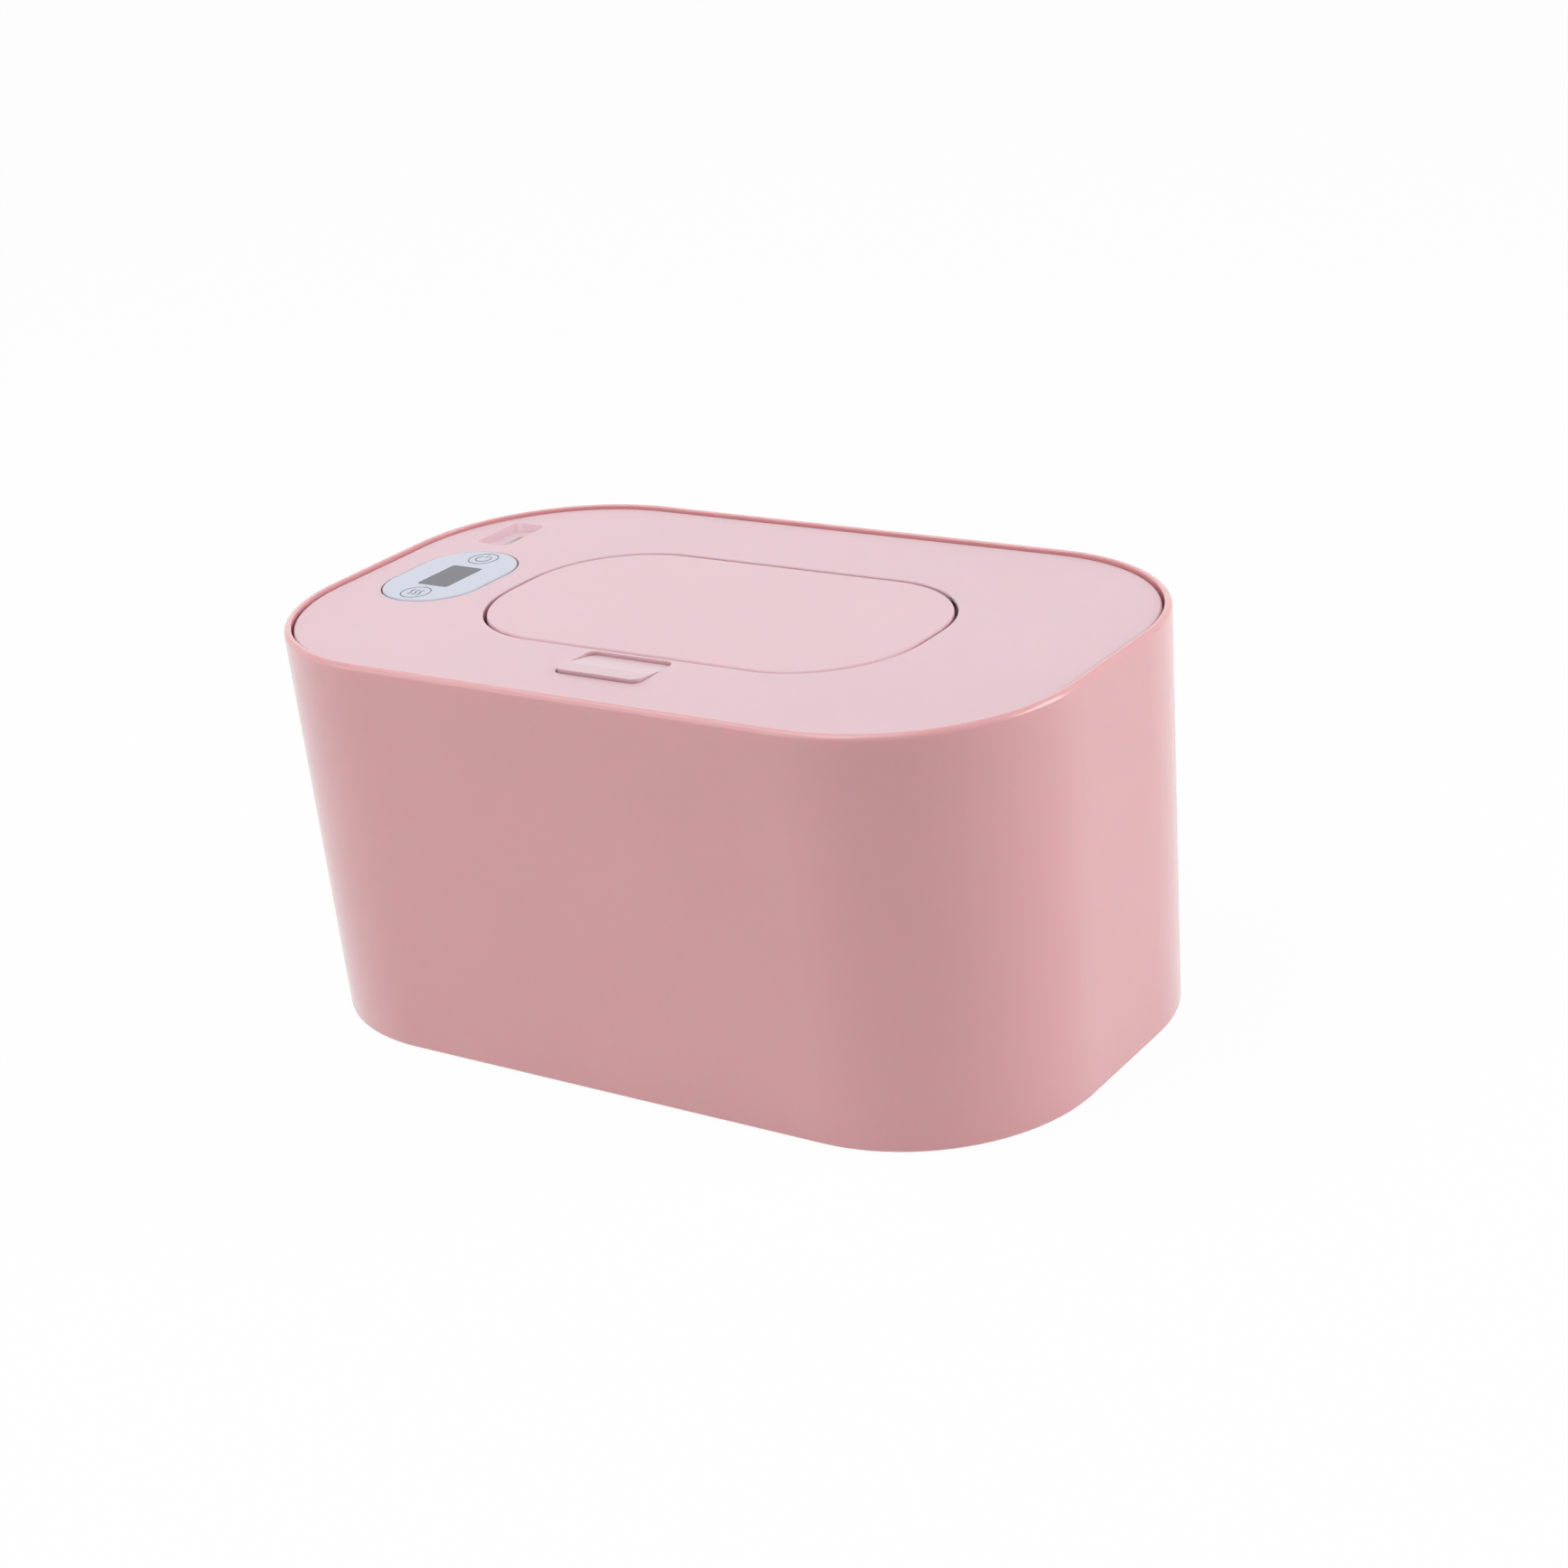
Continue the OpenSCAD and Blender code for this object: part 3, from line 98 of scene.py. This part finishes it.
class Nodes:
    """A material's node tree with a Principled shader, and short ways to add to it."""

    def __init__(self, name):
        self.material = bpy.data.materials.new(name)
        self.material.use_nodes = True
        self.tree = self.material.node_tree
        self.shader = self.tree.nodes["Principled BSDF"]
        self.place = self.add("ShaderNodeTexCoord").outputs["Object"]

    def add(self, kind, **values):
        node = self.tree.nodes.new(kind)
        for name, value in values.items():
            setattr(node, name, value)
        return node

    def link(self, source, target):
        self.tree.links.new(source, target)

    def noise(self, scale, detail=3.0):
        """Noise with about this many features to the metre."""
        node = self.add("ShaderNodeTexNoise")
        node.inputs["Scale"].default_value = scale
        node.inputs["Detail"].default_value = detail
        self.link(self.place, node.inputs["Vector"])
        return node.outputs["Fac"]

    def ramp(self, source, low, high):
        """Maps noise to a range of values."""
        node = self.add("ShaderNodeMapRange")
        node.inputs["From Min"].default_value = NOISE_LOW
        node.inputs["From Max"].default_value = NOISE_HIGH
        node.inputs["To Min"].default_value = low
        node.inputs["To Max"].default_value = high
        self.link(source, node.inputs["Value"])
        return node.outputs["Result"]

    def tint(self, source, colour, spread):
        """Varies the base colour a little round its value."""
        node = self.add("ShaderNodeMix", data_type="RGBA")
        node.inputs["A"].default_value = shade(colour, 1 - spread)
        node.inputs["B"].default_value = shade(colour, 1 + spread)
        self.link(self.ramp(source, 0, 1), node.inputs["Factor"])
        self.link(node.outputs["Result"], self.shader.inputs["Base Color"])

    def bump(self, source, height):
        """Raises the surface by a height in metres."""
        node = self.add("ShaderNodeBump")
        node.inputs["Strength"].default_value = 1.0
        node.inputs["Distance"].default_value = height
        self.link(source, node.inputs["Height"])
        self.link(node.outputs["Normal"], self.shader.inputs["Normal"])


def moulded_plastic(name, colour, roughness, spread=0.012, depth=0.0, coat=0.0):
    """Moulded plastic: faint flow marks, a slightly uneven gloss and soft waves from the mould."""
    n = Nodes(name)
    n.tint(n.noise(FLOW_MARKS), colour, spread)
    n.link(n.ramp(n.noise(GLOSS_PATCHES), roughness - 0.02, roughness + 0.03), n.shader.inputs["Roughness"])
    n.bump(n.noise(MOULD_WAVES), WAVE_H)
    n.shader.inputs["IOR"].default_value = PLASTIC_IOR
    n.shader.inputs["Coat Weight"].default_value = coat
    n.shader.inputs["Coat Roughness"].default_value = COAT_ROUGHNESS
    if depth:
        n.shader.inputs["Subsurface Weight"].default_value = depth
        n.shader.inputs["Subsurface Radius"].default_value = LIGHT_REACH
        n.shader.inputs["Subsurface Scale"].default_value = LIGHT_DEPTH
    return n.material


def rubber(name, colour):
    """Silicone and soft rubber: dull, with a fine grain."""
    n = Nodes(name)
    n.tint(n.noise(90), colour, 0.03)
    n.link(n.ramp(n.noise(700), 0.5, 0.62), n.shader.inputs["Roughness"])
    n.bump(n.noise(2600), 0.01 * MM)
    return n.material


def metal(name, colour, roughness, stretch=(1.0, 1.0, 1.0)):
    """Bare metal with fine drawn lines."""
    n = Nodes(name)
    mapping = n.add("ShaderNodeMapping")
    mapping.inputs["Scale"].default_value = stretch
    n.link(n.place, mapping.inputs["Vector"])
    n.place = mapping.outputs["Vector"]
    lines = n.noise(1500)
    n.tint(lines, colour, 0.05)
    n.link(n.ramp(lines, roughness - 0.06, roughness + 0.08), n.shader.inputs["Roughness"])
    n.bump(lines, 0.002 * MM)
    n.shader.inputs["Metallic"].default_value = 1.0
    return n.material


def foam(name, colour):
    """Closed-cell foam."""
    n = Nodes(name)
    cells = n.add("ShaderNodeTexVoronoi")
    cells.inputs["Scale"].default_value = 1400
    n.link(n.place, cells.inputs["Vector"])
    n.tint(cells.outputs["Distance"], colour, 0.08)
    n.shader.inputs["Roughness"].default_value = 0.85
    n.bump(cells.outputs["Distance"], 0.06 * MM)
    return n.material


def circuit_board(name, colour):
    """Green lacquer over copper tracks."""
    n = Nodes(name)
    tracks = n.add("ShaderNodeTexBrick")
    tracks.inputs["Scale"].default_value = 260
    tracks.inputs["Mortar Size"].default_value = 0.03
    tracks.inputs["Color1"].default_value = shade(colour)
    tracks.inputs["Color2"].default_value = shade(colour, 1.15)
    tracks.inputs["Mortar"].default_value = shade(colour, 1.7)
    n.link(n.place, tracks.inputs["Vector"])
    n.link(tracks.outputs["Color"], n.shader.inputs["Base Color"])
    n.shader.inputs["Roughness"].default_value = 0.35
    n.bump(tracks.outputs["Fac"], 0.02 * MM)
    return n.material


def smoked_lens(name, colour):
    """Smoked acrylic over an unlit display."""
    n = Nodes(name)
    n.tint(n.noise(60), colour, 0.04)
    n.link(n.ramp(n.noise(500), 0.12, 0.2), n.shader.inputs["Roughness"])
    return n.material


def dress(material, *nodes):
    """Gives CAD nodes a material."""
    for node in nodes:
        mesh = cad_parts[node].data
        mesh.materials.clear()
        mesh.materials.append(material)


white_plastic = moulded_plastic("white_plastic", WARM_WHITE, 0.33)
silicone = rubber("silicone", SILICONE)
steel = metal("zinc_plated_steel", STEEL, 0.34)
nickel = metal("nickel_shell", NICKEL, 0.18)
dark_plastic = moulded_plastic("dark_plastic", DARK, 0.4, spread=0.1)
dress(moulded_plastic("shell_pink", SHELL_PINK, 0.24, depth=0.8, coat=0.5), "outer_shell")
dress(moulded_plastic("lid_pink", LID_PINK, 0.31, depth=0.6), "lid_top_cover")
dress(moulded_plastic("flip_pink", FLIP_PINK, 0.31, depth=0.6), "flip_lid_panel")
dress(moulded_plastic("button_pink", BUTTON_PINK, 0.31, depth=0.6), "press_button")
dress(white_plastic, "inner_tub", "lid_lower_cover", "dispensing_collar", "flip_lid_liner", "latch_slide")
dress(silicone, "lid_seal", "flip_lid_seal")
dress(rubber("foot_pad", FOOT_GREY), "feet")
dress(moulded_plastic("panel_gloss", PANEL_BLUE, 0.14, spread=0.006), "control_panel")
dress(smoked_lens("smoked_lens", LENS_GREY), "display_window")
dress(dark_plastic, "display_module", "thermistor")
dress(steel, "tub_screws", "lid_screws", "board_screws", "touch_springs", "opening_spring", "latch_spring")
dress(metal("blackened_steel", DARK_STEEL, 0.5), "hinge_pins")
dress(nickel, "usb_socket", "thermal_fuse")
dress(circuit_board("board_lacquer", BOARD_GREEN), "control_board")
dress(metal("rolled_aluminium", ALUMINIUM, 0.36, stretch=(1.0, 12.0, 12.0)), "heater_plate")
dress(moulded_plastic("heating_film", AMBER, 0.22, spread=0.06), "heating_film")
dress(foam("foam", FOAM), "insulation_pad")
dress(rubber("lead_sheath", LEAD_RED), "heater_leads")


def print_material():
    """Dark grey ink, slightly uneven."""
    n = Nodes("panel_print")
    n.tint(n.noise(2200), PRINT_GREY, 0.08)
    n.link(n.ramp(n.noise(900), 0.3, 0.42), n.shader.inputs["Roughness"])
    return n.material


def arc_points(radius, start, end, steps=48):
    """Points of an arc round the origin, with angles in degrees."""
    return [
        Vector((radius * math.cos(a), radius * math.sin(a)))
        for a in (math.radians(start + (end - start) * i / steps) for i in range(steps + 1))
    ]


def heat_wave(x):
    """One full upright wave, centred on a place across the key."""
    half = WAVE_STEPS // 2
    return [
        Vector((x + WAVE_SWING * math.sin(math.pi * step / half), (step - half) * WAVE_STEP))
        for step in range(WAVE_STEPS + 1)
    ]


def stroke(bm, points, width, height, closed=False):
    """Adds a flat printed line along points, as a thin closed solid from z 0 up to a height."""
    count = len(points)
    if closed:
        count -= 1
    sides = []
    for i in range(count):
        before = points[(i - 1) % count] if closed else points[max(i - 1, 0)]
        after = points[(i + 1) % count] if closed else points[min(i + 1, count - 1)]
        along = (after - before).normalized()
        across = Vector((-along.y, along.x)) * width / 2
        sides.append([
            bm.verts.new((p.x, p.y, z))
            for p in (points[i] - across, points[i] + across)
            for z in (0.0, height)
        ])
    spans = range(count) if closed else range(count - 1)
    for i in spans:
        a = sides[i]
        b = sides[(i + 1) % count]
        for low, high in ((0, 2), (2, 3), (3, 1), (1, 0)):
            bm.faces.new((a[low], b[low], b[high], a[high]))
    if not closed:
        for end in (sides[0], sides[-1]):
            bm.faces.new((end[0], end[1], end[3], end[2]))
    bmesh.ops.recalc_face_normals(bm, faces=bm.faces)


def printed_piece(name, strokes, place, material):
    """A printed mark that lies on the control panel."""
    bm = bmesh.new()
    for points, width, closed in strokes:
        stroke(bm, points, width, INK_T, closed)
    mesh = bpy.data.meshes.new(name)
    bm.to_mesh(mesh)
    bm.free()
    mesh.transform(Matrix.Translation(place))
    mesh.materials.append(material)
    piece = bpy.data.objects.new(name, mesh)
    bpy.context.scene.collection.objects.link(piece)
    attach(piece, "lid")
    return piece


panel_low, panel_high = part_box("control_panel")
panel_middle = (Vector(panel_low) + Vector(panel_high)) / 2
ink = print_material()
key_ring = (arc_points(KEY_R, 0, 360, 72), RING_W, True)
power_arc = (arc_points(POWER_R, *POWER_ARC), ICON_W, False)
power_bar = ([Vector((0, BAR_LOW)), Vector((0, BAR_HIGH))], ICON_W, False)
heat_waves = [(heat_wave(x), ICON_W, False) for x in (-WAVE_PITCH, 0.0, WAVE_PITCH)]
for label, side, strokes in (
    ("power_key_print", 1, [key_ring, power_arc, power_bar]),
    ("heat_key_print", -1, [key_ring] + heat_waves),
):
    key_place = Vector((panel_middle.x, panel_middle.y + side * KEY_PITCH / 2, panel_high[2]))
    printed_piece(label, strokes, key_place, ink)


def set_camera():
    """The photograph's camera, found by fitting the body's outline."""
    azimuth = math.radians(35.41)
    elevation = math.radians(22.05)
    roll = math.radians(-5.59)
    distance = 701 * MM
    middle = Vector((0, 0, 47.5 * MM))
    shift_right = 10.95 * MM
    shift_up = 4.08 * MM
    back = Vector((
        math.sin(azimuth) * math.cos(elevation),
        -math.cos(azimuth) * math.cos(elevation),
        math.sin(elevation),
    ))
    level = Vector((math.cos(azimuth), math.sin(azimuth), 0))
    above = back.cross(level)
    right = level * math.cos(roll) + above * math.sin(roll)
    up = above * math.cos(roll) - level * math.sin(roll)
    place = middle + right * shift_right + up * shift_up + back * distance
    camera = bpy.data.objects.new("camera", bpy.data.cameras.new("camera"))
    camera.data.sensor_width = 36
    camera.data.lens = 70.33
    camera.data.clip_start = 0.01
    camera.matrix_world = Matrix((
        (right.x, up.x, back.x, place.x),
        (right.y, up.y, back.y, place.y),
        (right.z, up.z, back.z, place.z),
        (0, 0, 0, 1),
    ))
    bpy.context.scene.collection.objects.link(camera)
    bpy.context.scene.camera = camera


def background_rays(tree):
    """1 for camera, glossy and transmission rays, which see the plain white background."""
    rays = tree.nodes.new("ShaderNodeLightPath")
    total = rays.outputs["Is Camera Ray"]
    for name in ("Is Glossy Ray", "Is Transmission Ray"):
        add = tree.nodes.new("ShaderNodeMath")
        add.operation = "MAXIMUM"
        tree.links.new(total, add.inputs[0])
        tree.links.new(rays.outputs[name], add.inputs[1])
        total = add.outputs[0]
    return total


def set_world(fill):
    """A white background for the camera and for reflections, and a dimmer even light."""
    world = bpy.data.worlds.new("studio")
    world.use_nodes = True
    tree = world.node_tree
    light = tree.nodes["Background"]
    light.inputs["Color"].default_value = (1.0, 1.0, 1.0, 1)
    light.inputs["Strength"].default_value = fill
    white = tree.nodes.new("ShaderNodeBackground")
    white.inputs["Color"].default_value = (1.0, 1.0, 1.0, 1)
    white.inputs["Strength"].default_value = 1.0
    mix = tree.nodes.new("ShaderNodeMixShader")
    tree.links.new(background_rays(tree), mix.inputs["Fac"])
    tree.links.new(light.outputs[0], mix.inputs[1])
    tree.links.new(white.outputs[0], mix.inputs[2])
    tree.links.new(mix.outputs[0], tree.nodes["World Output"].inputs["Surface"])
    bpy.context.scene.world = world


def set_floor(size, whiteness):
    """A pale matt floor, which the camera and reflections see mostly as plain white."""
    mesh = bpy.data.meshes.new("floor")
    half = size / 2
    corners = [(-half, -half, 0), (half, -half, 0), (half, half, 0), (-half, half, 0)]
    mesh.from_pydata(corners, [], [(0, 1, 2, 3)])
    material = bpy.data.materials.new("floor")
    material.use_nodes = True
    tree = material.node_tree
    matt = tree.nodes["Principled BSDF"]
    matt.inputs["Base Color"].default_value = (0.9, 0.9, 0.9, 1)
    matt.inputs["Roughness"].default_value = 0.9
    matt.inputs["Specular IOR Level"].default_value = 0.0
    white = tree.nodes.new("ShaderNodeEmission")
    share = tree.nodes.new("ShaderNodeMath")
    share.operation = "MULTIPLY"
    share.inputs[1].default_value = whiteness
    tree.links.new(background_rays(tree), share.inputs[0])
    mix = tree.nodes.new("ShaderNodeMixShader")
    tree.links.new(share.outputs[0], mix.inputs["Fac"])
    tree.links.new(matt.outputs[0], mix.inputs[1])
    tree.links.new(white.outputs[0], mix.inputs[2])
    tree.links.new(mix.outputs[0], tree.nodes["Material Output"].inputs["Surface"])
    mesh.materials.append(material)
    floor = bpy.data.objects.new("floor", mesh)
    bpy.context.scene.collection.objects.link(floor)


def softbox(name, place, size, power, target=(0, 0, 50 * MM)):
    """A rectangular lamp at a place in metres, turned to a target, with a power in watts."""
    lamp = bpy.data.lights.new(name, "AREA")
    lamp.shape = "RECTANGLE"
    lamp.size, lamp.size_y = size
    lamp.energy = power
    holder = bpy.data.objects.new(name, lamp)
    holder.location = place
    aim = Vector(target) - Vector(place)
    holder.rotation_euler = aim.to_track_quat("-Z", "Y").to_euler()
    bpy.context.scene.collection.objects.link(holder)


set_camera()
set_world(fill=0.22)
set_floor(size=12.0, whiteness=0.97)
softbox("overhead", place=(-0.28, -0.38, 1.25), size=(1.2, 1.0), power=9.9)
softbox("back_side", place=(-0.70, 0.98, 0.49), size=(1.2, 0.8), power=0.85)
softbox("right_side", place=(1.2, 0.54, 0.5), size=(0.8, 0.8), power=10.0)
softbox("left_side", place=(-0.66, -0.88, 0.14), size=(0.7, 0.7), power=2.6, target=(0, 0, 40 * MM))

bpy.context.scene.view_settings.view_transform = "Standard"
